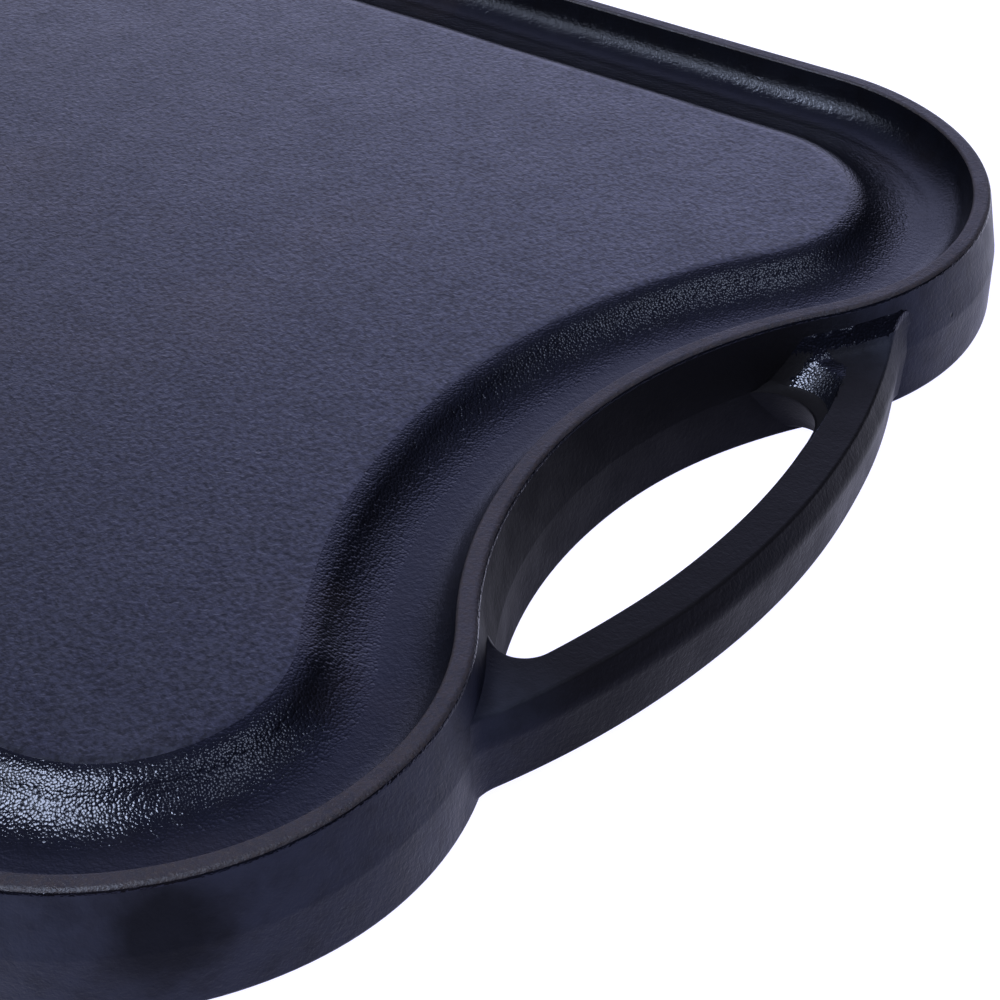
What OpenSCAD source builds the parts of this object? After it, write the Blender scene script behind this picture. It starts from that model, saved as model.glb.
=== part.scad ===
// Camp griddle plate: a cast iron plate with a raised cooking deck, a grease gutter around it,
// an upstanding rim, a dip and a bowed bar handle at each end, and grill ribs on the underside.
// X runs along the plate, Y across it and Z up, from the middle of the surface that it stands on.
// A section through the edge of the plate is drawn in (s, z), where s is the distance inwards from
// the rim's top outer edge.

/* [Plate] */
// Length between the rim's two end faces, at the rim's top
plate_l = 488; // [440:1:560]
// Width at the rim's top
plate_w = 265; // [240:1:300]
// Height of the rim's top above the foot
plate_h = 22; // [20:0.5:28]
// Radius of the four corners in plan, at the rim's top outer edge
corner_r = 52; // [46:1:60]
// How far the middle of each end dips in to make room for fingers
dip_depth = 26; // [20:0.5:32]

/* [Rim and skirt] */
// Width of the rim's flat top
rim_w = 3.2; // [2.4:0.1:4.5]
// How far the rim's inner wall leans in between its top and the gutter's floor
rim_lean = 1.4; // [0.4:0.1:2.4]
// How far the lower wall stands out past the rim's top outer edge
wall_bulge = 1.8; // [0.4:0.1:2.6]
// Height of the lower wall, from the foot to the parting line of the casting
skirt_h = 11; // [9:0.5:13]
// Thickness of the skirt at the foot
skirt_t = 5; // [4:0.1:6.5]
// Bevel on the edges of the rim's top
rim_edge = 0.4; // [0.2:0.05:0.8]
// Bevel on the edges of the foot
foot_edge = 0.8; // [0.4:0.1:1.2]

/* [Grease gutter] */
// Width from the rim's inner top edge to the edge of the deck
gutter_w = 24.2; // [23:0.1:26]
// Depth of the gutter's floor below the deck
gutter_depth = 5.5; // [4:0.1:7]
// Fillet between the gutter's floor and the rim's inner wall
floor_fillet = 7; // [4:0.1:7.4]
// Fillet between the skirt's inner wall and the web above it
under_fillet = 4; // [2:0.1:5]
// Run of the rounded shoulder between the gutter's floor and the deck
shoulder_run = 15; // [12:0.5:16]
// Radius of the shoulder's crest at the edge of the deck
crest_r = 6.5; // [4:0.1:9]
// Thickness of the iron under the gutter's floor
floor_t = 5; // [4:0.1:6]

/* [Cooking deck] */
// Depth of the deck below the rim's top
deck_drop = 2.4; // [1.5:0.1:4]
// Thickness of the deck
deck_t = 5.5; // [4:0.1:7]

/* [Handles] */
// How far the middle of the bar stands out past the rim's end face
bar_reach = 10.3; // [7:0.1:16]
// Width of the bar's flat top
bar_w = 6.5; // [5:0.1:8]
// Depth of the bar's top below the rim's top
bar_drop = 7.1; // [6:0.1:9]
// Height of the bar's underside above the foot
bar_lift = 1.2; // [0.8:0.1:4]
// How far the bar's sides stand out past its top edges at the parting line
bar_swell = 1.8; // [0.4:0.1:2.4]
// How far the bar's sides stand out past its top edges above its underside
bar_flare = 1; // [0:0.1:1.6]
// Bevel along the bar's long edges
bar_edge = 0.7; // [0.3:0.1:1]
// Turn along the corner from the end face to where the bar's outer edge lands, in degrees
bar_landing = 19.8; // [16:0.1:24]
// Radius in plan at the two ends of the finger gap
tip_r = 5.5; // [4:0.1:7]
// Radius in plan where the bar's outer side runs into the corner
crease_r = 5; // [3:0.1:8]

/* [Grill ribs] */
// Distance between the middles of neighbouring ribs
rib_pitch = 15.5; // [12:0.5:16]
// Width of a rib at its root
rib_root_w = 6.5; // [5:0.1:8]
// Width of a rib at its crest
rib_crest_w = 3.5; // [2.5:0.1:4.5]
// Height of a rib
rib_h = 8; // [5:0.1:9]
// Least distance from a rib to the edge of the deck
rib_margin = 5; // [3:0.5:10]

/* [Hidden] */
$fn = 96;
iron = "#2b2c38";
ground_iron = "#35343c";
// Flat stretch of gutter floor between the fillet at the wall and the joint of rim and gutter
joint_flat = 0.5;
// Points on each rounded stretch of a section, and steps along the arcs of a handle
section_steps = 5;
bow_steps = 16;
turn_steps = 6;
// Clearance between a handle's root and the wall that it grows out of
root_clearance = 0.02;

half_w = plate_w / 2;
half_l = plate_l / 2;
corner_x = half_l - corner_r;
corner_y = half_w - corner_r;

// The dip's arc is tangent to the two corner arcs beside it
dip_r = (dip_depth * dip_depth + corner_y * corner_y) / (2 * dip_depth) - corner_r;
dip_x = half_l - dip_depth + dip_r;
dip_turn = atan2(corner_y, dip_x - corner_x);

// Heights
deck_z = plate_h - deck_drop;
deck_under = deck_z - deck_t;
floor_z = deck_z - gutter_depth;
floor_under = floor_z - floor_t;
bar_top = plate_h - bar_drop;

// Distances inwards from the rim's top outer edge
deck_s = rim_w + gutter_w;
shoulder_s = deck_s - shoulder_run;
lean = atan2(rim_lean, plate_h - floor_z);
skirt_s = skirt_t - wall_bulge;
wall_fillet = min(floor_fillet, plate_h - floor_z - 2 * rim_edge);
floor_fillet_s = rim_w + (plate_h - floor_z - wall_fillet) * tan(lean) + wall_fillet / cos(lean);
under_fillet_s = skirt_s + (floor_under - under_fillet) * tan(lean) + under_fillet / cos(lean);
joint_s = max(floor_fillet_s, under_fillet_s) + joint_flat;

// As many ribs as fit under the deck, the same number on each side of the middle one
rib_reach = half_w - deck_s - rib_margin - rib_root_w / 2;
rib_pairs = floor(rib_reach / rib_pitch);
rib_count = 2 * rib_pairs + 1;

// Names of the sides, ends and corners, with the sign of Y, of X and of both
SIDES = [["front", -1], ["back", 1]];
ENDS = [["left", -1], ["right", 1]];
CORNERS = [for (side = SIDES) for (end = ENDS) [str(side[0], "_", end[0]), end[1], side[1]]];

// The rim and the gutter each run along two sides, around four corners and along two dips
function run_names(run) = concat(
    [for (side = SIDES) str(run, "_", side[0])],
    [for (corner = CORNERS) str(run, "_corner_", corner[0])],
    [for (end = ENDS) str(run, "_dip_", end[0])]);
RIBS = [for (i = [1:rib_count]) str("rib_", i)];

// Points along an arc
function arc(c, r, from, to, steps) =
    [for (i = [0:steps]) let (a = from + (to - from) * i / steps) c + r * [cos(a), sin(a)]];

// A wide hollow arc and the crest's arc, which carry a level line at a up to a level line at b
function shoulder(a, b) =
    let (run = b[0] - a[0],
         rise = b[1] - a[1],
         hollow_r = (run * run + rise * rise) / (2 * rise) - crest_r,
         turn = 2 * atan2(rise, run),
         hollow = arc([a[0], a[1] + hollow_r], hollow_r, 270, 270 + turn, section_steps),
         crest = arc([b[0], b[1] - crest_r], crest_r, 90 + turn, 90, section_steps))
    concat(hollow, [for (i = [1:section_steps]) crest[i]]);

function reversed(list) = [for (i = [len(list) - 1:-1:0]) list[i]];

// Section of the rim: ground top, leaning inner wall, fillets to the plate's web, skirt and outer wall
rim_section = concat(
    [[rim_edge, plate_h], [rim_w - rim_edge, plate_h], [rim_w + rim_edge * tan(lean), plate_h - rim_edge]],
    arc([floor_fillet_s, floor_z + wall_fillet], wall_fillet, 180 + lean, 270, section_steps),
    [[joint_s, floor_z], [joint_s, floor_under]],
    arc([under_fillet_s, floor_under - under_fillet], under_fillet, 90, 180 - lean, section_steps),
    [[skirt_s + foot_edge * tan(lean), foot_edge], [skirt_s - foot_edge, 0]],
    [[foot_edge - wall_bulge, 0], [-wall_bulge, foot_edge], [-wall_bulge, skirt_h]],
    [[-wall_bulge * rim_edge / (plate_h - skirt_h), plate_h - rim_edge]]);

// Section of the gutter: level floor, rounded shoulder up to the deck, and an even web below them
gutter_section = concat(
    [[joint_s, floor_z]],
    shoulder([shoulder_s, floor_z], [deck_s, deck_z]),
    reversed(shoulder([shoulder_s, floor_under], [deck_s, deck_under])),
    [[joint_s, floor_under]]);

// A section carried along the front side
module side_run(section) {
    translate([-corner_x, 0, 0])
        rotate([90, 0, 90])
            linear_extrude(2 * corner_x)
                polygon([for (p = section) [p[0] - half_w, p[1]]]);
}

// A section carried around the corner between the front side and the right end
module corner_run(section) {
    translate([corner_x, -corner_y, 0])
        rotate([0, 0, -90])
            rotate_extrude(angle = 90 + dip_turn)
                polygon([for (p = section) [corner_r - p[0], p[1]]]);
}

// A section carried along the dip in the right end
module dip_run(section) {
    translate([dip_x, 0, 0])
        rotate([0, 0, 180 - dip_turn])
            rotate_extrude(angle = 2 * dip_turn)
                polygon([for (p = section) [dip_r + p[0], p[1]]]);
}

// Carries what is drawn at the front right over to the end and side with these signs of X and Y
module at(x_sign, y_sign) {
    mirror([x_sign < 0 ? 1 : 0, 0, 0])
        mirror([0, y_sign > 0 ? 1 : 0, 0])
            children();
}

// Outline of the plate at the distance s inwards from the rim's top outer edge, for its right half
function end_outline(s) =
    let (corner = arc([corner_x, -corner_y], corner_r - s, -90, dip_turn, 3 * turn_steps),
         dip = arc([dip_x, 0], dip_r + s, 180 + dip_turn, 180 - dip_turn, 3 * turn_steps))
    concat(corner,
           [for (i = [1:3 * turn_steps - 1]) dip[i]],
           reversed([for (p = corner) [p[0], -p[1]]]));

module cooking_deck() {
    outline = end_outline(deck_s);
    color(iron)
        translate([0, 0, deck_under])
            linear_extrude(deck_t)
                polygon(concat(outline, [for (p = outline) -p]));
}

module gutter_side(side) {
    color(iron) at(1, side[1]) side_run(gutter_section);
}

module gutter_corner(corner) {
    color(iron) at(corner[1], corner[2]) corner_run(gutter_section);
}

module gutter_dip(end) {
    color(iron) at(end[1], -1) dip_run(gutter_section);
}

module rim_side(side) {
    color(ground_iron) at(1, side[1]) side_run(rim_section);
}

module rim_corner(corner) {
    color(ground_iron) at(corner[1], corner[2]) corner_run(rim_section);
}

module rim_dip(end) {
    color(ground_iron) at(end[1], -1) dip_run(rim_section);
}

// The bar's bow runs through the middle of its reach and through its landing on each corner
landing = [corner_x + corner_r * cos(bar_landing), corner_y - corner_r * sin(bar_landing)];
bow_rise = half_l + bar_reach - landing[0];
bow_r = (bow_rise * bow_rise + landing[1] * landing[1]) / (2 * bow_rise);
bow_x = half_l + bar_reach - bow_r;
gap_r = bow_r - bar_w;

// Crossing of two circles, on the left of the line from the first centre to the second
function crossing(c1, r1, c2, r2) =
    let (d = norm(c2 - c1),
         along = (r1 * r1 - r2 * r2 + d * d) / (2 * d),
         aside = sqrt(r1 * r1 - along * along),
         u = (c2 - c1) / d)
    c1 + along * u + aside * [-u[1], u[0]];

function bearing(from, to) = atan2(to[1] - from[1], to[0] - from[0]);

bow_c = [bow_x, 0];
dip_c = [dip_x, 0];
corner_c = [corner_x, corner_y];

// Points of an arc past its start
function arc_on(c, r, from, to, steps) =
    let (points = arc(c, r, from, to, steps))
    [for (i = [1:steps]) points[i]];

// Half of a handle's outline where the plate's wall stands out by wall and the bar's sides by side:
// from the middle of the bar's inner side around the end of the finger gap, along the wall that the
// root grows out of, and back along the bar's outer side
function half_handle(wall, side) =
    let (corner = corner_r + wall,
         dip = dip_r - wall,
         inner = gap_r - side,
         outer = bow_r + side,
         tip_on_dip = crossing(bow_c, inner - tip_r, dip_c, dip - tip_r),
         tip_on_corner = crossing(corner_c, corner + tip_r, bow_c, inner - tip_r),
         on_dip = 180 - bearing(dip_c, tip_on_dip) < dip_turn,
         tip = on_dip ? tip_on_dip : tip_on_corner,
         tip_from = bearing(bow_c, tip),
         tip_to = on_dip ? bearing(dip_c, tip) : bearing(tip, corner_c),
         crease = crossing(corner_c, corner + crease_r, bow_c, outer + crease_r),
         root_to = bearing(corner_c, crease),
         crease_to = bearing(crease, bow_c) + 360,
         root = on_dip
            ? concat(arc_on(dip_c, dip, tip_to, 180 - dip_turn, turn_steps),
                     arc_on(corner_c, corner, -dip_turn, root_to, turn_steps))
            : arc_on(corner_c, corner, tip_to - 180, root_to, 2 * turn_steps))
    concat(arc(bow_c, inner, 0, tip_from, bow_steps),
           arc_on(tip, tip_r, tip_from, tip_to, turn_steps),
           root,
           arc_on(crease, crease_r, 180 + root_to, crease_to, turn_steps),
           arc_on(bow_c, outer, crease_to - 180, 0, bow_steps));

// The whole outline, closed by the mirror image of its half
function handle_outline(wall, side) =
    let (half = half_handle(wall, side))
    concat(half, [for (i = [len(half) - 2:-1:1]) [half[i][0], -half[i][1]]]);

// How far the outer wall of the plate stands out past the rim's top outer edge at a height
function wall_out(z) = wall_bulge * min(1, (plate_h - z) / (plate_h - skirt_h));

// Heights of a handle's edges, and how far its sides stand out past its top edges there
swell_z = min(skirt_h, bar_top - 2 * bar_edge);
handle_layers = [
    [bar_lift, bar_flare - bar_edge],
    [bar_lift + bar_edge, bar_flare],
    [swell_z, bar_swell],
    [bar_top - bar_edge, bar_edge / 2],
    [bar_top, 0]];

// Triangles of a handle's flat top, by the points of half its outline: across the bar, between the end
// of the finger gap and the wall, and from the wall to the crease
function quad(a, b, c, d) = [[a, b, c], [a, c, d]];
outline_half = 2 * bow_steps + 4 * turn_steps;
tip_cusp = bow_steps + turn_steps;
root_last = tip_cusp + 2 * turn_steps - 1;
crease_last = outline_half - bow_steps;
bar_cap = [for (i = [0:bow_steps - 1]) each quad(i, i + 1, outline_half - i - 1, outline_half - i)];
tip_cap = [
    for (i = [0:turn_steps - 1])
        let (tip = tip_cusp - i,
             wall = tip_cusp + 2 * i)
        each concat(
            i > 0 ? [[tip - 1, tip, wall]] : [],
            [[tip - 1, wall, wall + 1]],
            wall + 1 < root_last ? [[tip - 1, wall + 1, wall + 2]] : [])];
crease_cap = concat(
    [[bow_steps, root_last, crease_last]],
    [for (i = [root_last + 1:crease_last - 1]) [root_last, i, i + 1]]);
half_cap = concat(bar_cap, tip_cap, crease_cap);
outline_count = 2 * outline_half;
function mirrored(i) = (outline_count - i) % outline_count;
handle_cap = concat(half_cap, [for (t = half_cap) [mirrored(t[2]), mirrored(t[1]), mirrored(t[0])]]);

// The bar of the right end with its two roots, as a stack of outlines
module bar_with_roots() {
    outlines = [for (layer = handle_layers) handle_outline(wall_out(layer[0]) + root_clearance, layer[1])];
    top = len(outlines) - 1;
    points = [
        for (k = [0:top])
            for (p = outlines[k])
                [p[0], p[1], handle_layers[k][0]]];
    sides = [
        for (k = [0:top - 1])
            for (i = [0:outline_count - 1])
                let (j = (i + 1) % outline_count,
                     low = k * outline_count,
                     high = low + outline_count)
                each quad(low + i, low + j, high + j, high + i)];
    under_cap = [for (t = handle_cap) reversed(t)];
    top_cap = [for (t = handle_cap) [for (i = t) i + top * outline_count]];
    polyhedron(points, concat(sides, under_cap, top_cap));
}

module handle(end) {
    color(iron) at(end[1], -1) bar_with_roots();
}

// Distance from the middle of the plate to the end of the deck, at a distance y across
function deck_end(y) =
    let (dip = dip_r + deck_s,
         corner = corner_r - deck_s)
    abs(y) < dip * sin(dip_turn)
        ? dip_x - sqrt(dip * dip - y * y)
        : corner_x + sqrt(corner * corner - pow(abs(y) - corner_y, 2));

// A grill rib under the deck, counted from the front
module rib(i) {
    y = (i - 1 - rib_pairs) * rib_pitch;
    half_length = deck_end(y) - rib_margin;
    color(iron)
        translate([-half_length, y, deck_under])
            rotate([90, 0, 90])
                linear_extrude(2 * half_length)
                    polygon([
                        [-rib_root_w / 2, 0],
                        [-rib_crest_w / 2, -rib_h],
                        [rib_crest_w / 2, -rib_h],
                        [rib_root_w / 2, 0]]);
}

cooking_deck();
for (side = SIDES) {
    gutter_side(side);
    rim_side(side);
}
for (corner = CORNERS) {
    gutter_corner(corner);
    rim_corner(corner);
}
for (end = ENDS) {
    gutter_dip(end);
    rim_dip(end);
    handle(end);
}
for (i = [1:rib_count]) rib(i);
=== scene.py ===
# Looks of the camp griddle plate: the casting's surfaces, its seasoned iron, the studio and the camera.
# Lengths in the shape functions are millimetres, and the meshes are metres. X runs along the plate, Y across
# it and Z up. A section is drawn in (s, z), where s is the distance inwards from the rim's top outer edge.
import math

import bpy
from mathutils import Matrix, Vector, geometry, noise


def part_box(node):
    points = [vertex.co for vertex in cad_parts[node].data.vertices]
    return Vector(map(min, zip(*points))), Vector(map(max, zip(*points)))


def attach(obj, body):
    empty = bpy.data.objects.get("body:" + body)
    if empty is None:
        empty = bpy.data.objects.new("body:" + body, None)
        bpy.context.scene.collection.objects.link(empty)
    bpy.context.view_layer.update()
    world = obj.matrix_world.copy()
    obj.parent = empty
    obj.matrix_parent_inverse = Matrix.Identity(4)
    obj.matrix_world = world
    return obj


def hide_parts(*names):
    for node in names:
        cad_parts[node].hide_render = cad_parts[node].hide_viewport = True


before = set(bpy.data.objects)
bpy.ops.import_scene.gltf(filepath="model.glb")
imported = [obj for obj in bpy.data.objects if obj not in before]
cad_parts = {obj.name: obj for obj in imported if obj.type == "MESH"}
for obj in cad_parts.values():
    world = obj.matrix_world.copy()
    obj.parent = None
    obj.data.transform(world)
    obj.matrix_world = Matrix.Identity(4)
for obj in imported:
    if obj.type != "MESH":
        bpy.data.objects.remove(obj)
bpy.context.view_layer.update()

MM = 0.001
ROOT = "root"


def millimetres(node):
    """Lowest and highest corner of a CAD node."""
    low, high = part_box(node)
    return low / MM, high / MM


# Sizes that the frame gives
deck_low, deck_high = millimetres("cooking_deck")
side_low, side_high = millimetres("rim_front")
gutter_low, gutter_high = millimetres("gutter_front")
corner_high = millimetres("rim_corner_front_right")[1]
bar_under = millimetres("handle_right")[0].z

# The rim, whose wall leans out to a parting edge at the skirt's height. The edge turns crisp in the finger
# gaps, over a share of the dip.
RIM_W = 3.2
RIM_LEAN = 1.4
RIM_EDGE_IN = 0.7
RIM_EDGE_OUT = 1.2
WALL_BULGE = 1.8
SKIRT_H = 11.0
SKIRT_T = 5.0
FOOT_EDGE = 0.8
PARTING_R = 4.0
GAP_PARTING_R = 0.6
GAP_FADE = 0.15
DIP_DEPTH = 26.0

# The gutter and the shoulder up to the deck
FLOOR_FILLET = 7.0
UNDER_FILLET = 4.0
SHOULDER_RUN = 15.0
CREST_R = 8.0

# Where finishes meet: depths under the rim's top, and places s across the gutter
GROUND_DEPTH = 0.4
WORN_DEPTH = 0.8
SLOPE_S = 15.0
CREST_S = 26.0

# The handles' bar and its roots in the wall
BAR_W = 6.5
BAR_REACH = 10.3
BAR_TOP = 14.9
BAR_SWELL = 1.8
BAR_FLARE = 1.0
BAR_EDGE = 0.8
BAR_LANDING = math.radians(19.8)
CREASE_R = 9.0
ROOT_DEPTH = 1.2
ROOT_BITE = 0.35

# The coves from the bar's top to the wall. The back one shines from a height above the bar.
COVE_R = 3.2
COVE_HOLLOW = 1.5
COVE_SHINE = 1.2
BACK_COVE_H = 3.9
FRONT_COVE_H = 0.8

# The round ends of the finger gap, and the oily slope in the back one with a matt fillet beside the wall
TIP_R = 5.5
BACK_TIP_R = 8.5
TIP_STEP = 0.4
TIP_SLOPE = 1.05
TIP_SHINE = 6.0
TIP_COVE_R = 3.0
TIP_COVE_H = 3.0
TIP_COVE_MATT = 1.3
TIP_BLEND = 0.6
BAR_SIDE_BLEND = 0.2

# The ribs, which run out to a share of their depth
RIB_ROOT_W = 6.5
RIB_CREST_W = 3.5
RIB_CREST_R = 1.2
RIB_END_RUN = 7.0
RIB_END_SHARE = 0.15

# The casting's unevenness, the room that it needs inside the perfect form, and its fade under the rim's top
WAVE = 0.15
WAVE_LENGTH = 24.0
WAVE_SEED = 3
WAVE_ROOM = 1.2
LEVEL_FADE = 2.0

# Sizes that follow. The gutter's floor is level with the deck's underside.
plate_h = side_high.z
half_w = -side_low.y - WALL_BULGE
half_l = corner_high.x - WALL_BULGE
corner_x = side_high.x
corner_r = half_l - corner_x
corner_y = half_w - corner_r
dip_r = (DIP_DEPTH ** 2 + corner_y ** 2) / (2 * DIP_DEPTH) - corner_r
dip_x = half_l - DIP_DEPTH + dip_r
dip_turn = math.atan2(corner_y, dip_x - corner_x)
deck_z = deck_high.z
deck_under = deck_low.z
floor_under = gutter_low.z
floor_z = deck_under
deck_s = half_w + gutter_high.y
joint_s = half_w + gutter_low.y
skirt_s = SKIRT_T - WALL_BULGE
lean = RIM_LEAN / (plate_h - floor_z)

# Steps along the paths and around the curves, and the grids of the level patches
SIDE_STEPS = 80
CORNER_STEPS = 56
DIP_STEPS = 48
FILLET_STEPS = 10
BOW_STEPS = 44
TURN_STEPS = 24
DECK_GRID = 7.0
DECK_MARGIN = (0.7, 1.6, 3.2, 5.5)
CAP_GRID = 0.5
UNDER_GRID = 3.0
GRID_CLEARANCE = 0.6
MERGE_DISTANCE = 1e-6
SHARP_ANGLE = math.radians(40)
END_STEP = 0.03
NEAR_ONE = 0.999


def rounded(corners, steps=FILLET_STEPS):
    """Open line through corners given as (a, b, radius), with an arc of that radius at each inner corner."""
    line = [corners[0][:2]]
    for before, here, after in zip(corners, corners[1:], corners[2:]):
        at = Vector(here[:2])
        back = (Vector(before[:2]) - at).normalized()
        ahead = (Vector(after[:2]) - at).normalized()
        radius = here[2]
        half = back.angle(ahead) / 2
        if radius == 0:
            line.append(tuple(at))
            continue
        start = at + back * radius / math.tan(half)
        centre = at + (back + ahead).normalized() * radius / math.sin(half)
        turn = (start - centre).angle_signed(at + ahead * radius / math.tan(half) - centre)
        for share in eased_steps(steps):
            arm = (start - centre).copy()
            arm.rotate(Matrix.Rotation(-turn * share, 2))
            line.append(tuple(centre + arm))
    line.append(corners[-1][:2])
    return line


def smooth(value):
    """A value eased between 0 and 1."""
    held = min(1, max(0, value))
    return held * held * (3 - 2 * held)


def eased_steps(steps):
    """Shares from 0 to 1, with one short step at each end so that a surface's edge has its true normal."""
    inner = [i / steps for i in range(1, steps)]
    return [0.0, END_STEP / steps] + inner + [1 - END_STEP / steps, 1.0]


def rim_section(parting_r):
    """Joint, fillet, leaning inner wall, ground top, outer wall, foot, skirt and web."""
    return rounded([
        (joint_s, floor_z, 0),
        (RIM_W + RIM_LEAN, floor_z, FLOOR_FILLET),
        (RIM_W, plate_h, RIM_EDGE_IN),
        (0, plate_h, RIM_EDGE_OUT),
        (-WALL_BULGE, SKIRT_H, parting_r),
        (-WALL_BULGE, 0, FOOT_EDGE),
        (skirt_s, 0, FOOT_EDGE),
        (skirt_s + floor_under * lean, floor_under, UNDER_FILLET),
        (joint_s, floor_under, 0)])


def plain_rim(share):
    """The rim's section along the sides and corners, with a worn parting edge."""
    return rim_section(PARTING_R)


def gap_rim(share):
    """The rim's section at a share of the dip, with a crisp parting edge in the finger gap."""
    crisp = smooth(min(share, 1 - share) / GAP_FADE)
    return rim_section(PARTING_R + crisp * (GAP_PARTING_R - PARTING_R))


def rim_finish(s, z):
    """Which of a rim's materials shows at a place of its section: gutter, ground top, wall or worn edge."""
    if z > plate_h - GROUND_DEPTH:
        return 1
    inside = s > RIM_W / 2 and z > floor_under
    if z > plate_h - WORN_DEPTH and not inside:
        return 3
    return 0 if inside else 2


def shoulder(low, high):
    """Line from the gutter's joint at the height low, up a wide hollow and a tighter crest, to the deck's
    edge."""
    turn = 2 * math.atan2(high - low, SHOULDER_RUN)
    hollow_r = SHOULDER_RUN / math.sin(turn) - CREST_R
    reach = math.tan(turn / 2) * NEAR_ONE
    return rounded([
        (joint_s, low, 0),
        (deck_s - SHOULDER_RUN + hollow_r * reach, low, hollow_r * NEAR_ONE),
        (deck_s - CREST_R * reach, high, CREST_R * NEAR_ONE),
        (deck_s, high, 0)])


def gutter_section():
    """The shoulder's top from the deck to the joint, and its underside back to the deck."""
    top = shoulder(floor_z, deck_z)
    under = shoulder(floor_under, deck_under)
    return list(reversed(top)) + under


def side_path():
    """Places along the front side, each with the direction inwards."""
    return [((corner_x * (2 * t - 1), -half_w), (0, 1)) for t in eased_steps(SIDE_STEPS)]


def turned(centre, radius, start, end, steps, inwards):
    """Places along an arc, each with the plate's direction inwards. The sign inwards is 1 where that is away
    from the arc's centre, and -1 where it is towards it."""
    path = []
    for t in eased_steps(steps):
        angle = start + (end - start) * t
        arm = (math.cos(angle), math.sin(angle))
        place = (centre[0] + radius * arm[0], centre[1] + radius * arm[1])
        path.append((place, (inwards * arm[0], inwards * arm[1])))
    return path


def corner_path():
    """Places around the corner between the front side and the right end."""
    return turned((corner_x, -corner_y), corner_r, -math.pi / 2, dip_turn, CORNER_STEPS, -1)


def dip_path():
    """Places along the dip in the right end, from front to back."""
    return turned((dip_x, 0), dip_r, math.pi + dip_turn, math.pi - dip_turn, DIP_STEPS, 1)


noise.seed_set(WAVE_SEED)


def uneven(point):
    """A point of the perfect form, moved by the unevenness of a sand casting. The foot and the rim's ground
    top stay level, and the whole stays inside the perfect form's box."""
    x, y, z = point
    shift = noise.noise_vector(Vector((x, y, 2 * z)) / WAVE_LENGTH) * WAVE
    level = min(1, max(0, z / SKIRT_H)) * min(1, max(0, (plate_h - z) / LEVEL_FADE))
    shrink_x = 1 - WAVE_ROOM * WAVE / (half_l + BAR_REACH)
    shrink_y = 1 - WAVE_ROOM * WAVE / half_w
    return Vector((x * shrink_x + shift.x, y * shrink_y + shift.y, z + shift.z * level)) * MM


def make_piece(name, points, faces, materials, signs=(1, 1), finishes=None):
    """A closed piece from points that take these signs in X and Y. Each face shows the material that finishes
    gives for it, or else the first."""
    flip = signs[0] * signs[1] < 0
    places = [uneven((x * signs[0], y * signs[1], z)) for x, y, z in points]
    loops = [tuple(reversed(f)) for f in faces] if flip else faces
    mesh = bpy.data.meshes.new(name)
    mesh.from_pydata(places, [], loops)
    for material in materials:
        mesh.materials.append(material)
    if finishes:
        mesh.polygons.foreach_set("material_index", finishes)
    mesh.validate()
    mesh.shade_smooth()
    mesh.set_sharp_from_angle(angle=SHARP_ANGLE)
    piece = bpy.data.objects.new("casting_" + name, mesh)
    bpy.context.scene.collection.objects.link(piece)
    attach(piece, ROOT)
    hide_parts(name)


def ring_faces(rings, count):
    """Faces between rings of points that follow each other, each with the same count of points."""
    faces = []
    for k in range(rings - 1):
        a, b = k * count, (k + 1) * count
        for i in range(count):
            j = (i + 1) % count
            faces.append((a + i, a + j, b + j, b + i))
    return faces


def end_faces(rings, count):
    """Faces that close the first and the last ring."""
    last = (rings - 1) * count
    return [tuple(reversed(range(count))), tuple(range(last, last + count))]


def sweep(section_at, path, finish):
    """Points, faces and finishes of a closed section carried along an open path, with a face at each end.
    The section may change along the path, and finish says which material shows at a place of it."""
    rings = len(path)
    sections = [section_at(k / (rings - 1)) for k in range(rings)]
    points = []
    for (p, n), section in zip(path, sections):
        points += [(p[0] + s * n[0], p[1] + s * n[1], z) for s, z in section]
    finishes = []
    for section in sections[:-1]:
        for (s0, z0), (s1, z1) in zip(section, section[1:] + section[:1]):
            finishes.append(finish((s0 + s1) / 2, (z0 + z1) / 2))
    count = len(sections[0])
    faces = ring_faces(rings, count) + end_faces(rings, count)
    return points, faces, finishes + [0, 0]


def moved_in(path, s):
    """Places of a path, moved inwards by s."""
    return [(p[0] + s * n[0], p[1] + s * n[1]) for p, n in path]


def end_outline(s):
    """Outline of the plate at the distance s inwards, from the front to the back of its right half."""
    corner = moved_in(corner_path(), s)
    dip = moved_in(dip_path(), s)
    return corner + dip[1:-1] + [(x, -y) for x, y in reversed(corner)]


def plate_outline(s):
    """Outline of the whole plate at the distance s inwards."""
    right = end_outline(s)
    back = [(corner_x * (1 - 2 * t), half_w - s) for t in eased_steps(SIDE_STEPS)[1:-1]]
    return right + back + [(-x, -y) for x, y in right + back]


def filled(outline, spacing, margin=()):
    """Points and triangles of a level patch with that outline, with a grid of points and those of a margin
    inside it."""
    xs = [p[0] for p in outline]
    ys = [p[1] for p in outline]
    count = len(outline)
    grid = []
    for i in range(1, int((max(xs) - min(xs)) / spacing) + 1):
        for j in range(1, int((max(ys) - min(ys)) / spacing) + 1):
            grid.append((min(xs) + (i + 0.5 * (j % 2)) * spacing, min(ys) + j * spacing))
    inside = [p for p in grid if is_inside(p, outline) and clear_of(p, outline, GRID_CLEARANCE * spacing)]
    places = [Vector(p) for p in outline + list(margin) + inside]
    edges = [(i, (i + 1) % count) for i in range(count)]
    inside_only = 1
    made = geometry.delaunay_2d_cdt(places, edges, [], inside_only, MERGE_DISTANCE)
    return [tuple(p) for p in made[0]], [tuple(f) for f in made[2]]


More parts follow.
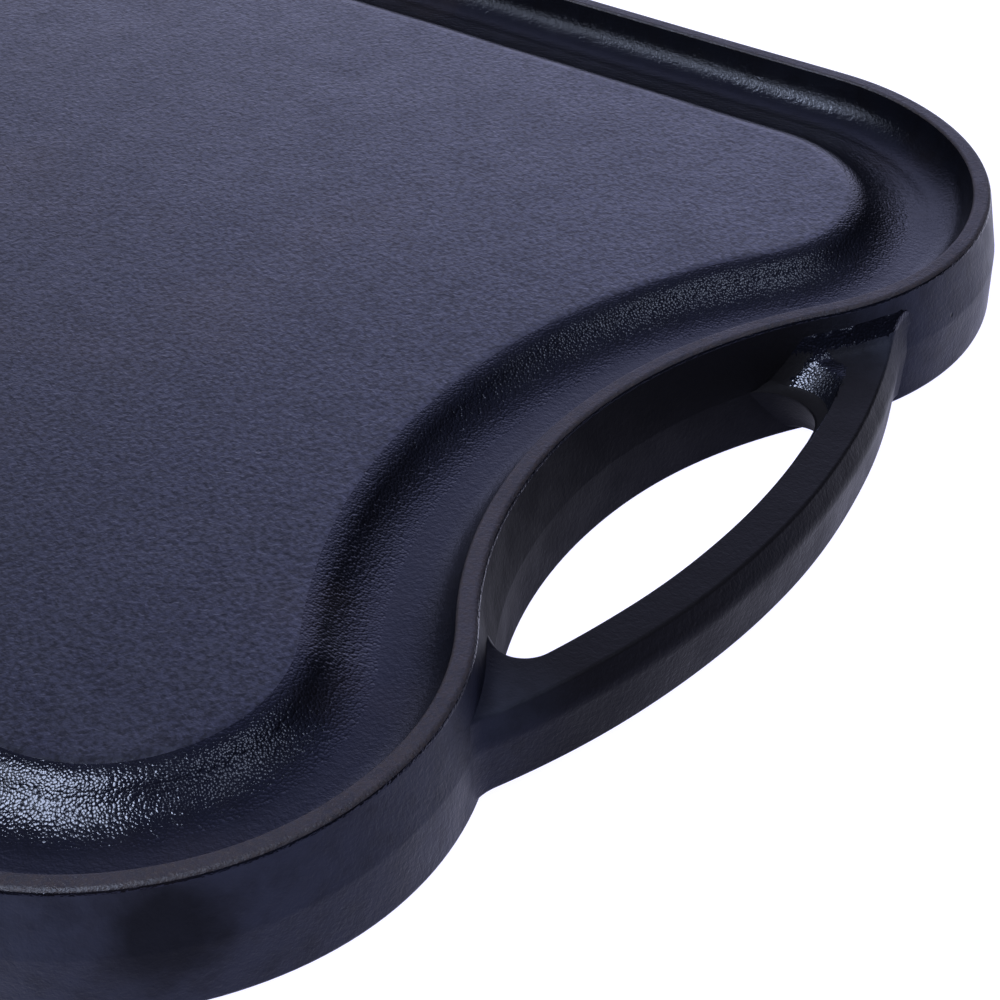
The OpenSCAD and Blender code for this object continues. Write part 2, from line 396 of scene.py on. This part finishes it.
def is_inside(point, outline):
    """Whether a point lies inside an outline, which a line from it then crosses an odd number of times."""
    x, y = point
    inside = False
    for (x0, y0), (x1, y1) in zip(outline, outline[1:] + outline[:1]):
        if (y0 > y) != (y1 > y) and x < x0 + (x1 - x0) * (y - y0) / (y1 - y0):
            inside = not inside
    return inside


def clear_of(point, outline, distance):
    """Whether a point keeps a distance from all points of an outline."""
    return all((x - point[0]) ** 2 + (y - point[1]) ** 2 > distance ** 2 for x, y in outline)


def stacked(outlines, heights, cap, cap_lift):
    """Points and faces of a stack of outlines, lowest first, closed below and above by a filled patch."""
    count = len(outlines[0])
    points = [(x, y, z) for outline, z in zip(outlines, heights) for x, y in outline]
    faces = ring_faces(len(outlines), count)
    for k, up in ((0, False), (len(outlines) - 1, True)):
        places, triangles = cap[k]
        ids = [k * count + i if i < count else len(points) + i - count for i in range(len(places))]
        points += [(x, y, heights[k]) for x, y in places[count:]]
        for t in triangles:
            face = tuple(ids[i] for i in t)
            faces.append(face if up else tuple(reversed(face)))
    return [(x, y, z + cap_lift(x, y, z)) for x, y, z in points], faces


def cooking_deck(material):
    """The raised plate that food lies on."""
    outline = plate_outline(deck_s)
    margin = [p for width in DECK_MARGIN for p in plate_outline(deck_s + width)]
    patch = filled(outline, DECK_GRID, margin)
    heights = [deck_under, deck_z]
    points, faces = stacked([outline, outline], heights, {0: patch, 1: patch}, lambda x, y, z: 0)
    make_piece("cooking_deck", points, faces, [material])


# Signs that carry a piece from the front right to its own place
SIDES = {"front": (1, 1), "back": (1, -1)}
CORNERS = {"front_left": (-1, 1), "front_right": (1, 1), "back_left": (-1, -1), "back_right": (1, -1)}
ENDS = {"left": (-1, 1), "right": (1, 1)}


def runs(kind):
    """Name, path and signs of each run of a kind around the plate: the sides, the corners and the dips."""
    named = [(f"{kind}_{side}", side_path(), signs) for side, signs in SIDES.items()]
    named += [(f"{kind}_corner_{corner}", corner_path(), signs) for corner, signs in CORNERS.items()]
    named += [(f"{kind}_dip_{end}", dip_path(), signs) for end, signs in ENDS.items()]
    return named


def rims(materials):
    """The rim around the plate, whose wall faces the finger gap along a dip."""
    for name, path, signs in runs("rim"):
        section_at = gap_rim if "_dip_" in name else plain_rim
        points, faces, finishes = sweep(section_at, path, rim_finish)
        make_piece(name, points, faces, materials, signs, finishes)


def gutter_finish(s, z):
    """Which of a gutter's materials shows at a place of its section: floor, slope or deck."""
    if s > CREST_S:
        return 2
    return 1 if s > SLOPE_S else 0


def gutters(materials):
    """The gutter and the shoulder up to the deck, around the plate."""
    section = gutter_section()
    for name, path, signs in runs("gutter"):
        points, faces, finishes = sweep(lambda share: section, path, gutter_finish)
        make_piece(name, points, faces, materials, signs, finishes)


# The bar's bow runs through the middle of its reach and its landing on each corner
corner_c = Vector((corner_x, corner_y))
dip_c = Vector((dip_x, 0))
landing = corner_c + corner_r * Vector((math.cos(BAR_LANDING), -math.sin(BAR_LANDING)))
bow_rise = half_l + BAR_REACH - landing.x
bow_r = (bow_rise ** 2 + landing.y ** 2) / (2 * bow_rise)
bow_c = Vector((half_l + BAR_REACH - bow_r, 0))
gap_r = bow_r - BAR_W


def crossing(c1, r1, c2, r2):
    """Crossing of two circles, on the left of the line from the first centre to the second."""
    distance = (c2 - c1).length
    along = (r1 ** 2 - r2 ** 2 + distance ** 2) / (2 * distance)
    aside = math.sqrt(r1 ** 2 - along ** 2)
    u = (c2 - c1) / distance
    return c1 + along * u + aside * Vector((-u.y, u.x))


def bearing(start, end):
    """Angle of the line from one place to another."""
    return math.atan2(end.y - start.y, end.x - start.x)


def arc(centre, radius, start, end, steps, skip=1):
    """Points of an arc from one angle to another, where the first is left out unless skip is 0."""
    angles = [start + (end - start) * i / steps for i in range(skip, steps + 1)]
    return [(centre.x + radius * math.cos(a), centre.y + radius * math.sin(a)) for a in angles]


def gap_end(wall, side, tip_r):
    """Centre of the round end of the finger gap, and whether it lies beside the dip and not the corner."""
    inner = gap_r - side - tip_r
    tip = crossing(bow_c, inner, dip_c, dip_r - wall - tip_r)
    if math.pi - bearing(dip_c, tip) < dip_turn:
        return tip, True
    return crossing(corner_c, corner_r + wall + tip_r, bow_c, inner), False


def half_handle(z, side, tip_r):
    """Half of a handle's outline at a height, where the bar's sides stand out by side: the bar's inner side,
    the end of the finger gap, the root inside the plate's wall, the crease and the outer side."""
    wall = wall_out(z) - ROOT_BITE
    corner = corner_r + wall
    dip = dip_r - wall
    inner = gap_r - side
    outer = bow_r + side
    tip, on_dip = gap_end(wall, side, tip_r)
    tip_from = bearing(bow_c, tip)
    crease = crossing(corner_c, corner + CREASE_R, bow_c, outer + CREASE_R)
    root_to = bearing(corner_c, crease)
    crease_to = bearing(crease, bow_c) + 2 * math.pi
    if on_dip:
        tip_to = bearing(dip_c, tip)
        root = arc(dip_c, dip + ROOT_DEPTH, tip_to, math.pi - dip_turn, TURN_STEPS)
        root += arc(corner_c, corner - ROOT_DEPTH, -dip_turn, root_to, TURN_STEPS)
    else:
        tip_to = bearing(tip, corner_c)
        root = arc(corner_c, corner - ROOT_DEPTH, tip_to - math.pi, root_to, 2 * TURN_STEPS)
    line = arc(bow_c, inner, 0, tip_from, BOW_STEPS, 0)
    line += arc(tip, tip_r, tip_from, tip_to, TURN_STEPS)
    line += root
    line += arc(crease, CREASE_R, math.pi + root_to, crease_to, TURN_STEPS)
    line += arc(bow_c, outer, crease_to - math.pi, 0, BOW_STEPS)
    return line


def handle_outline(z, side):
    """A handle's outline at a height. The back end of the finger gap draws in towards the parting edge."""
    back_tip_r = TIP_R + (BACK_TIP_R - TIP_R) * min(1, z / SKIRT_H)
    back = half_handle(z, side, back_tip_r)
    front = half_handle(z, side, TIP_R)
    return list(reversed(back)) + [(x, -y) for x, y in front[1:-1]]


def wall_out(z):
    """How far the plate's outer wall stands out past the rim's top edge at a height."""
    return WALL_BULGE * min(1, (plate_h - z) / (plate_h - SKIRT_H))


def off_wall(x, y):
    """Distance in plan from the rim's top outer edge at the right end, outwards."""
    place = Vector((x, abs(y)))
    if math.pi - bearing(dip_c, place) < dip_turn:
        return dip_r - (place - dip_c).length
    return (place - corner_c).length - corner_r


back_tip = gap_end(wall_out(BAR_TOP) - ROOT_BITE, 0, BACK_TIP_R)[0]


def on_bar(place):
    """How far a place beside the back end of the finger gap lies on the bar, from 0 to 1."""
    return smooth((place - bow_c).length - gap_r + BAR_SIDE_BLEND)


def handle_top(x, y):
    """Height of a handle's top: level along the bar, up a cove at the plate's wall, and down a slope into the
    back end of the finger gap. The level part and the slope blend into each other."""
    place = Vector((x, abs(y)))
    cove_h = BACK_COVE_H if y > 0 else FRONT_COVE_H
    off = max(0, off_wall(x, y) - wall_out(BAR_TOP + cove_h))
    level = BAR_TOP + cove_h * max(0, 1 - off / COVE_R) ** COVE_HOLLOW
    if y < 0:
        return level
    slope = SKIRT_H + TIP_STEP + TIP_SLOPE * ((place - back_tip).length - BACK_TIP_R)
    slope += TIP_COVE_H * max(0, 1 - off / TIP_COVE_R) ** 2
    slope += 2 * BACK_COVE_H * on_bar(place)
    overlap = max(0, 1 - abs(level - slope) / TIP_BLEND)
    return min(level, slope) - TIP_BLEND * overlap ** 2 / 4


def bar_lift_at(x, y, z):
    """How far a point of a handle is lifted from where a level bar would have it."""
    share = max(0, (z - SKIRT_H) / (BAR_TOP - SKIRT_H))
    return share * (handle_top(x, y) - BAR_TOP) if share > 0 else 0


def handle_finish(place):
    """Which of a handle's materials shows at a place: the bar's, the oily one on the back cove and in the
    back end of the gap, or the gap wall's below it and beside that wall."""
    plan = Vector((place.x, place.y))
    if place.y > 0 and place.z > BAR_TOP + COVE_SHINE:
        return 1
    if on_bar(plan) > 0.5 or (plan - back_tip).length > BACK_TIP_R + TIP_SHINE:
        return 0
    off = off_wall(place.x, place.y) - wall_out(place.z)
    return 1 if off > TIP_COVE_MATT and place.z > SKIRT_H + TIP_STEP / 2 else 2


def handles(materials):
    """The bowed bar across the finger gap at each end."""
    side_line = rounded([
        (bar_under, -BAR_EDGE, 0),
        (bar_under, BAR_FLARE, BAR_EDGE),
        (SKIRT_H, BAR_SWELL, PARTING_R),
        (BAR_TOP, 0, BAR_EDGE),
        (BAR_TOP, -BAR_EDGE, 0)])
    heights = [z for z, side in side_line]
    outlines = [handle_outline(z, side) for z, side in side_line]
    top = len(heights) - 1
    caps = {0: filled(outlines[0], UNDER_GRID), top: filled(outlines[top], CAP_GRID)}
    points, faces = stacked(outlines, heights, caps, bar_lift_at)
    middles = [sum((Vector(points[i]) for i in f), Vector()) / len(f) for f in faces]
    finishes = [handle_finish(m) for m in middles]
    for end, signs in ENDS.items():
        make_piece(f"handle_{end}", points, faces, materials, signs, finishes)


def rib_section(depth):
    """A rib's section from its root, around the rounded crest and back to the root."""
    return rounded([
        (-RIB_ROOT_W / 2, 0, 0),
        (-RIB_CREST_W / 2, -depth, RIB_CREST_R),
        (RIB_CREST_W / 2, -depth, RIB_CREST_R),
        (RIB_ROOT_W / 2, 0, 0)])


def rib_shares(run):
    """Shares along a rib, close together where it runs out at both ends."""
    ending = [run * i / FILLET_STEPS for i in range(FILLET_STEPS)]
    level = [run + (1 - 2 * run) * i / SIDE_STEPS for i in range(SIDE_STEPS + 1)]
    return ending + level + [1 - share for share in reversed(ending)]


def ribs(material):
    """Grill ribs with a rounded crest, which run out towards their ends."""
    for name in sorted(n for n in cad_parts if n.startswith("rib_")):
        low, high = millimetres(name)
        middle = (low.y + high.y) / 2
        length = high.x - low.x
        run = RIB_END_RUN / length
        section = rib_section(high.z - low.z)
        shares = rib_shares(run)
        points = []
        for share in shares:
            end = min(1, min(share, 1 - share) / run)
            fall = RIB_END_SHARE + (1 - RIB_END_SHARE) * math.sqrt(1 - (1 - end) ** 2)
            points += [(low.x + length * share, middle + y, high.z + z * fall) for y, z in section]
        rings = len(shares)
        count = len(section)
        faces = ring_faces(rings, count) + end_faces(rings, count)
        make_piece(name, points, faces, [material])


class Shader:
    """A material's node tree, with short calls to add and link nodes."""

    def __init__(self, name):
        self.material = bpy.data.materials.new(name)
        self.material.use_nodes = True
        self.tree = self.material.node_tree
        self.tree.nodes.clear()
        self.place = self.add("ShaderNodeTexCoord").outputs["Object"]

    def add(self, kind, **values):
        """A new node of a kind, with these values."""
        node = self.tree.nodes.new(kind)
        for key, value in values.items():
            setattr(node, key, value)
        return node

    def link(self, source, target):
        """A link from a node's output to another's input."""
        self.tree.links.new(source, target)

    def set(self, socket, value):
        """Gives a socket a value, or links it where the value is another socket."""
        if isinstance(value, bpy.types.NodeSocket):
            self.link(value, socket)
        else:
            socket.default_value = value

    def noise(self, wavelength, detail=3.0, roughness=0.55, distortion=0.0):
        """Noise from 0 to 1 whose largest features are about as far apart as the wavelength, in
        millimetres."""
        node = self.add("ShaderNodeTexNoise")
        self.link(self.place, node.inputs["Vector"])
        node.inputs["Scale"].default_value = 1 / (wavelength * MM)
        node.inputs["Detail"].default_value = detail
        node.inputs["Roughness"].default_value = roughness
        node.inputs["Distortion"].default_value = distortion
        return node.outputs["Fac"]

    def spots(self, spacing, radius, share):
        """1 in scattered round spots, about as far apart as the spacing, where only a share of them shows."""
        cells = self.add("ShaderNodeTexVoronoi")
        self.link(self.place, cells.inputs["Vector"])
        cells.inputs["Scale"].default_value = 1 / (spacing * MM)
        split = self.add("ShaderNodeSeparateColor")
        self.link(cells.outputs["Color"], split.inputs["Color"])
        shown = self.math("LESS_THAN", split.outputs["Red"], share)
        size = self.math("MULTIPLY", split.outputs["Green"], radius / spacing)
        near = self.math("DIVIDE", cells.outputs["Distance"], size)
        disc = self.span(near, 1.0, 0.4, 0.0, 1.0)
        return self.math("MULTIPLY", disc, shown)

    def math(self, operation, a, b=0.0):
        """Result of an operation on one or two values."""
        node = self.add("ShaderNodeMath", operation=operation)
        self.set(node.inputs[0], a)
        self.set(node.inputs[1], b)
        return node.outputs["Value"]

    def span(self, value, low, high, to_low, to_high):
        """A value from low to high, eased to another span and held at its ends."""
        node = self.add("ShaderNodeMapRange", interpolation_type="SMOOTHSTEP", clamp=True)
        self.set(node.inputs["Value"], value)
        node.inputs["From Min"].default_value = low
        node.inputs["From Max"].default_value = high
        node.inputs["To Min"].default_value = to_low
        node.inputs["To Max"].default_value = to_high
        return node.outputs["Result"]

    def mix(self, share, a, b):
        """Two colours mixed by a share."""
        node = self.add("ShaderNodeMix", data_type="RGBA")
        self.set(node.inputs["Factor"], share)
        self.set(node.inputs["A"], a)
        self.set(node.inputs["B"], b)
        return node.outputs["Result"]

    def bump(self, height, depth, strength=1.0, below=None):
        """Normals of a height from 0 to 1 that stands for a depth in millimetres."""
        node = self.add("ShaderNodeBump")
        self.set(node.inputs["Height"], height)
        node.inputs["Distance"].default_value = depth * MM
        self.set(node.inputs["Strength"], strength)
        if below is not None:
            self.link(below, node.inputs["Normal"])
        return node.outputs["Normal"]


# Colours of the oil's sheen, of the iron and of the marks on it
SPECULAR_TINT = (0.50, 0.56, 1.0, 1)
DECK_IRON = (0.0030, 0.0031, 0.0052, 1)
GUTTER_IRON = (0.0015, 0.0017, 0.0040, 1)
WALL_IRON = (0.0100, 0.0115, 0.0240, 1)
# Painted shade: the darker colour that the walls and handles take about the finger gaps
GAP_SHADE_IRON = (0.0026, 0.0025, 0.0040, 1)
GROUND_IRON = (0.0070, 0.0060, 0.0090, 1)
BROWN = (0.0120, 0.0080, 0.0070, 1)
RUST = (0.0500, 0.0180, 0.0080, 1)
PIT = (0.0008, 0.0007, 0.0010, 1)

# A dark patch on the front right corner's wall. Its edges are shares of its radius.
DARK_PATCH_PLACE = (233.0, -115.0, 14.0)
DARK_PATCH_R = 13.0
DARK_PATCH_EDGES = (0.8, 1.5)
DARK_PATCH_RAGGED = 9.0
DARK_PATCH_DARKNESS = 0.85
DARK_PATCH_MATT = 0.25

# The painted shade and the matt skin about a handle, in millimetres to the front and the back of its middle
GAP_SHADE_REACH = (42.0, 66.0)
MATT_REACH = (52.0, 74.0)

# Levels of the sheen: on the deck where its grain is oily and where it is dry, about the gaps, at the corners
OILY_SHEEN = 0.70
DRY_SHEEN = 0.28
GAP_SHEEN = 0.17
CORNER_SHEEN = 0.42

# Marks on all of the iron: their sizes in millimetres, and how much or how many of them show
CLOUD_SIZE = 45.0
CLOUD_SHARE = 0.4
MOTTLE_SIZE = 5.0
MOTTLE_SHARE = 0.5
PIT_SPACING = 11.0
PIT_R = 0.7
PIT_SHARE = 0.3
PIT_DEPTH = 0.12
RUST_SPACING = 70.0
RUST_R = 1.2
RUST_SHARE = 0.25

# Patches of oil: their size in millimetres, and how much smoother and rougher they make the iron
OIL_SIZE = 8.0
OIL_SMOOTHER = 0.05
OIL_ROUGHER = 0.06

# Broad swells of the skin, in millimetres, and their strength
SWELL_SIZE = 9.0
SWELL_DEPTH = 0.15
SWELL_STRENGTH = 0.6

# The sand among the pebbles and the swells under the domes, as multiples of that grain's size and depth
SAND_SHARE = 0.4
DOME_SWELL = 2.5
DOME_SWELL_DEPTH = 0.8


class CastIron(Shader):
    """Oiled sand-cast iron: a dark colour with brown clouds, a fine mottle, pits and rust specks. Its grain
    comes from pebbles or domes, whose sizes and depths are in millimetres."""

    def __init__(self, name, colour, ior, roughness):
        super().__init__(name)
        clouds = self.span(self.noise(CLOUD_SIZE, detail=4, roughness=0.6), 0.50, 0.75, 0.0, CLOUD_SHARE)
        mottle = self.span(self.noise(MOTTLE_SIZE, detail=4, roughness=0.65), 0.35, 0.75, 0.0, MOTTLE_SHARE)
        self.pits = self.spots(PIT_SPACING, PIT_R, PIT_SHARE)
        rust = self.spots(RUST_SPACING, RUST_R, RUST_SHARE)
        self.colour = self.mix(mottle, colour, PIT)
        self.colour = self.mix(clouds, self.colour, self.mix(0.5, colour, BROWN))
        self.colour = self.mix(self.pits, self.colour, PIT)
        self.colour = self.mix(rust, self.colour, RUST)
        oil = self.noise(OIL_SIZE, detail=4, roughness=0.6)
        self.rough = self.span(oil, 0.3, 0.75, roughness - OIL_SMOOTHER, roughness + OIL_ROUGHER)
        self.ior = ior
        self.level = None

    def pebbles(self, size, depth):
        """Normals of the casting's skin: broad swells, pebbles, the sand's own grain and the pits."""
        swells = self.noise(SWELL_SIZE, detail=2, roughness=0.5)
        stones = self.noise(size, detail=2, roughness=0.5, distortion=0.4)
        sand = self.noise(SAND_SHARE * size, detail=2, roughness=0.5)
        self.normal = self.bump(swells, SWELL_DEPTH, SWELL_STRENGTH)
        self.normal = self.bump(stones, depth, below=self.normal)
        self.normal = self.bump(sand, SAND_SHARE * depth, below=self.normal)
        self.normal = self.bump(self.math("SUBTRACT", 1.0, self.pits), PIT_DEPTH, below=self.normal)

    def domes(self, spacing, depth):
        """Normals of sand grains that stand side by side as small domes, over slow swells."""
        cells = self.add("ShaderNodeTexVoronoi")
        self.link(self.place, cells.inputs["Vector"])
        cells.inputs["Scale"].default_value = 1 / (spacing * MM)
        fall = self.math("MULTIPLY", cells.outputs["Distance"], cells.outputs["Distance"])
        swells = self.noise(DOME_SWELL * spacing, detail=2, roughness=0.5)
        self.normal = self.bump(swells, DOME_SWELL_DEPTH * depth)
        self.normal = self.bump(self.math("SUBTRACT", 1.0, fall), depth, below=self.normal)

    def by_handle(self, near, far, reach):
        """A value that goes from near, between the roots of a handle, to far, around the corners."""
        split = self.add("ShaderNodeSeparateXYZ")
        self.link(self.place, split.inputs["Vector"])
        low, high = reach
        return self.span(self.math("ABSOLUTE", split.outputs["Y"]), low * MM, high * MM, near, far)

    def dark_patch(self, place, radius):
        """A dull dark patch with a ragged edge."""
        offset = self.add("ShaderNodeVectorMath", operation="SUBTRACT")
        self.link(self.place, offset.inputs[0])
        offset.inputs[1].default_value = Vector(place) * MM
        length = self.add("ShaderNodeVectorMath", operation="LENGTH")
        self.link(offset.outputs["Vector"], length.inputs[0])
        ragged = self.math("MULTIPLY", self.noise(DARK_PATCH_RAGGED, detail=4, roughness=0.6), radius * MM)
        reach = self.math("ADD", length.outputs["Value"], ragged)
        inner, outer = DARK_PATCH_EDGES
        share = self.span(reach, inner * radius * MM, outer * radius * MM, 1.0, 0.0)
        self.colour = self.mix(self.math("MULTIPLY", share, DARK_PATCH_DARKNESS), self.colour, PIT)
        self.rough = self.math("ADD", self.rough, self.math("MULTIPLY", share, DARK_PATCH_MATT))

    def finish(self):
        """Links the colour, roughness, normals and sheen to the surface."""
        surface = self.add("ShaderNodeBsdfPrincipled")
        self.link(self.colour, surface.inputs["Base Color"])
        self.link(self.rough, surface.inputs["Roughness"])
        self.link(self.normal, surface.inputs["Normal"])
        surface.inputs["IOR"].default_value = self.ior
        if self.level is not None:
            self.link(self.level, surface.inputs["Specular IOR Level"])
        surface.inputs["Specular Tint"].default_value = SPECULAR_TINT
        output = self.add("ShaderNodeOutputMaterial")
        self.link(surface.outputs["BSDF"], output.inputs["Surface"])
        return self.material


def deck_iron():
    """The cooking face, whose sand grain holds the oil unevenly."""
    shader = CastIron("deck_iron", DECK_IRON, ior=1.45, roughness=0.34)
    shader.pebbles(size=1.1, depth=0.13)
    grain = shader.noise(0.9, detail=2, roughness=0.6)
    shader.level = shader.span(grain, 0.35, 0.68, OILY_SHEEN, DRY_SHEEN)
    return shader.finish()


def gutter_iron():
    """The gutter's floor and wall, smooth under the oil."""
    shader = CastIron("gutter_iron", GUTTER_IRON, ior=1.31, roughness=0.22)
    shader.pebbles(size=0.7, depth=0.09)
    return shader.finish()


def shoulder_iron():
    """The slope up to the deck, where the sand grain stands out and glints."""
    shader = CastIron("shoulder_iron", GUTTER_IRON, ior=1.33, roughness=0.16)
    shader.domes(spacing=0.46, depth=0.075)
    return shader.finish()


def wall_iron(name, matt):
    """The outer walls and the handles, smooth around the corners, and rougher by matt about the gaps, where
    their colour is darkened as painted shade."""
    shader = CastIron(name, WALL_IRON, ior=1.24, roughness=0.42)
    shader.pebbles(size=0.9, depth=0.10)
    # A dull dark patch on the front right corner's wall
    shader.dark_patch(DARK_PATCH_PLACE, DARK_PATCH_R)
    # Painted shade: the colour darkens about the finger gaps
    shader.colour = shader.mix(shader.by_handle(1.0, 0.0, GAP_SHADE_REACH), shader.colour, GAP_SHADE_IRON)
    shader.rough = shader.math("ADD", shader.rough, shader.by_handle(matt, 0.0, MATT_REACH))
    shader.level = shader.by_handle(GAP_SHEEN, CORNER_SHEEN, MATT_REACH)
    return shader.finish()


def ground_iron():
    """The rim's top, worn level by grinding."""
    shader = CastIron("ground_iron", GROUND_IRON, ior=1.37, roughness=0.50)
    shader.pebbles(size=0.6, depth=0.16)
    scratches = shader.span(shader.noise(0.7, detail=3, roughness=0.65), 0.35, 0.7, 0.0, 0.6)
    shader.colour = shader.mix(scratches, shader.colour, BROWN)
    return shader.finish()


# The floor's size and its gap below the plate are in metres
FLOOR_GLOW = 0.98
FLOOR_TINT = (1.0, 1.0, 1.35, 1)
FLOOR_WHITE = (0.10, 0.10, 0.10, 1)
FLOOR_SIZE = 60.0
FLOOR_GAP = 0.0002


def studio_floor():
    """A white light table, which shows nothing from below."""
    mesh = bpy.data.meshes.new("studio_floor")
    half = FLOOR_SIZE / 2
    corners = [(-half, -half, 0), (half, -half, 0), (half, half, 0), (-half, half, 0)]
    mesh.from_pydata(corners, [], [(0, 1, 2, 3)])
    floor = bpy.data.objects.new("studio_floor", mesh)
    bpy.context.scene.collection.objects.link(floor)
    floor.location.z = -FLOOR_GAP
    shader = Shader("light_table")
    glow = shader.add("ShaderNodeEmission")
    glow.inputs["Color"].default_value = FLOOR_TINT
    glow.inputs["Strength"].default_value = FLOOR_GLOW
    white = shader.add("ShaderNodeBsdfDiffuse")
    white.inputs["Color"].default_value = FLOOR_WHITE
    both = shader.add("ShaderNodeAddShader")
    shader.link(glow.outputs["Emission"], both.inputs[0])
    shader.link(white.outputs["BSDF"], both.inputs[1])
    side = shader.add("ShaderNodeNewGeometry")
    clear = shader.add("ShaderNodeBsdfTransparent")
    surface = shader.add("ShaderNodeMixShader")
    shader.link(side.outputs["Backfacing"], surface.inputs["Fac"])
    shader.link(both.outputs["Shader"], surface.inputs[1])
    shader.link(clear.outputs["BSDF"], surface.inputs[2])
    output = shader.add("ShaderNodeOutputMaterial")
    shader.link(surface.outputs["Shader"], output.inputs["Surface"])
    mesh.materials.append(shader.material)


# Colours of the surroundings, directions towards them, and the cosines between which they fade in
BACKDROP = (1.45, 1.50, 2.15, 1)
CEILING = (0.34, 0.36, 0.50, 1)
ROOM = (0.015, 0.015, 0.02, 1)
BACKDROP_TOWARDS = (-0.09, 0.996, 0.0)
BACKDROP_EDGES = (0.15, 1.0)
BACKDROP_END = (-1.0, 0.0, 0.0)
BACKDROP_END_EDGES = (-0.05, 0.28)
CEILING_EDGES = (0.45, 0.85)


class Surroundings(Shader):
    """A world's node tree."""

    def __init__(self, name):
        self.world = bpy.data.worlds.new(name)
        self.world.use_nodes = True
        self.tree = self.world.node_tree
        self.tree.nodes.clear()
        self.place = self.add("ShaderNodeTexCoord").outputs["Generated"]

    def towards(self, direction, edges):
        """0 to 1 as the view turns towards a direction, between two cosines."""
        turn = self.add("ShaderNodeVectorMath", operation="DOT_PRODUCT")
        self.link(self.place, turn.inputs[0])
        turn.inputs[1].default_value = direction
        return self.span(turn.outputs["Value"], *edges, 0.0, 1.0)


def studio_world():
    """A pale backdrop behind the plate and a dim ceiling over it, in a dark room."""
    studio = Surroundings("studio")
    colour = studio.mix(studio.towards((0, 0, 1), CEILING_EDGES), ROOM, CEILING)
    share = studio.towards(BACKDROP_TOWARDS, BACKDROP_EDGES)
    share = studio.math("MULTIPLY", share, studio.towards(BACKDROP_END, BACKDROP_END_EDGES))
    colour = studio.mix(share, colour, BACKDROP)
    glow = studio.add("ShaderNodeBackground")
    studio.link(colour, glow.inputs["Color"])
    output = studio.add("ShaderNodeOutputWorld")
    studio.link(glow.outputs["Background"], output.inputs["Surface"])
    bpy.context.scene.world = studio.world


# The lamps' colour, and in metres their distance and the place that they face
LAMP = (1.0, 1.03, 0.80)
LAMP_DISTANCE = 1.6
END_OF_PLATE = Vector((0.2, 0.0, 0.02))


def softbox(name, direction, size, power):
    """A square area light that stands in a direction from the plate's right end and faces it."""
    data = bpy.data.lights.new(name, "AREA")
    data.shape = "SQUARE"
    data.size = size
    data.energy = power
    data.color = LAMP
    light = bpy.data.objects.new(name, data)
    bpy.context.scene.collection.objects.link(light)
    away = Vector(direction).normalized()
    light.location = END_OF_PLATE + away * LAMP_DISTANCE
    light.rotation_euler = (-away).to_track_quat("-Z", "Y").to_euler()


# The camera's place, lens and sensor are in millimetres, and its clip distance in metres
CAMERA_PLACE = Vector((385.209, -247.059, 229.737))
CAMERA_RIGHT = Vector((0.80728586, 0.59001536, -0.01309265))
CAMERA_UP = Vector((-0.34560755, 0.49062606, 0.79990092))
CAMERA_LENS = 81.606
CAMERA_SENSOR = 36.0
CAMERA_CLIP = 0.01


def camera():
    """The photograph's view: the right end, from above the front right corner."""
    data = bpy.data.cameras.new("camera")
    data.lens = CAMERA_LENS
    data.sensor_width = CAMERA_SENSOR
    data.clip_start = CAMERA_CLIP
    body = bpy.data.objects.new("camera", data)
    bpy.context.scene.collection.objects.link(body)
    back = CAMERA_RIGHT.cross(CAMERA_UP)
    turn = Matrix((CAMERA_RIGHT, CAMERA_UP, back)).transposed().to_4x4()
    body.matrix_world = Matrix.Translation(CAMERA_PLACE * MM) @ turn
    bpy.context.scene.camera = body


# The casting
floor_iron = gutter_iron()
slope_iron = shoulder_iron()
outer_iron = wall_iron("wall_iron", matt=0.18)
bar_iron = wall_iron("bar_iron", matt=0.0)
face_iron = deck_iron()
cooking_deck(face_iron)
gutters([floor_iron, slope_iron, face_iron])
rims([floor_iron, ground_iron(), outer_iron, slope_iron])
handles([bar_iron, slope_iron, outer_iron])
ribs(outer_iron)

# The studio and the camera
studio_floor()
studio_world()
softbox("softbox_main", direction=(-0.13, -0.48, 0.87), size=0.6, power=58)
softbox("softbox_right", direction=(0.47, 0.18, 0.87), size=0.4, power=6)
softbox("softbox_left", direction=(-0.52, -0.55, 0.66), size=0.6, power=7)
camera()
bpy.context.scene.view_settings.view_transform = "Standard"
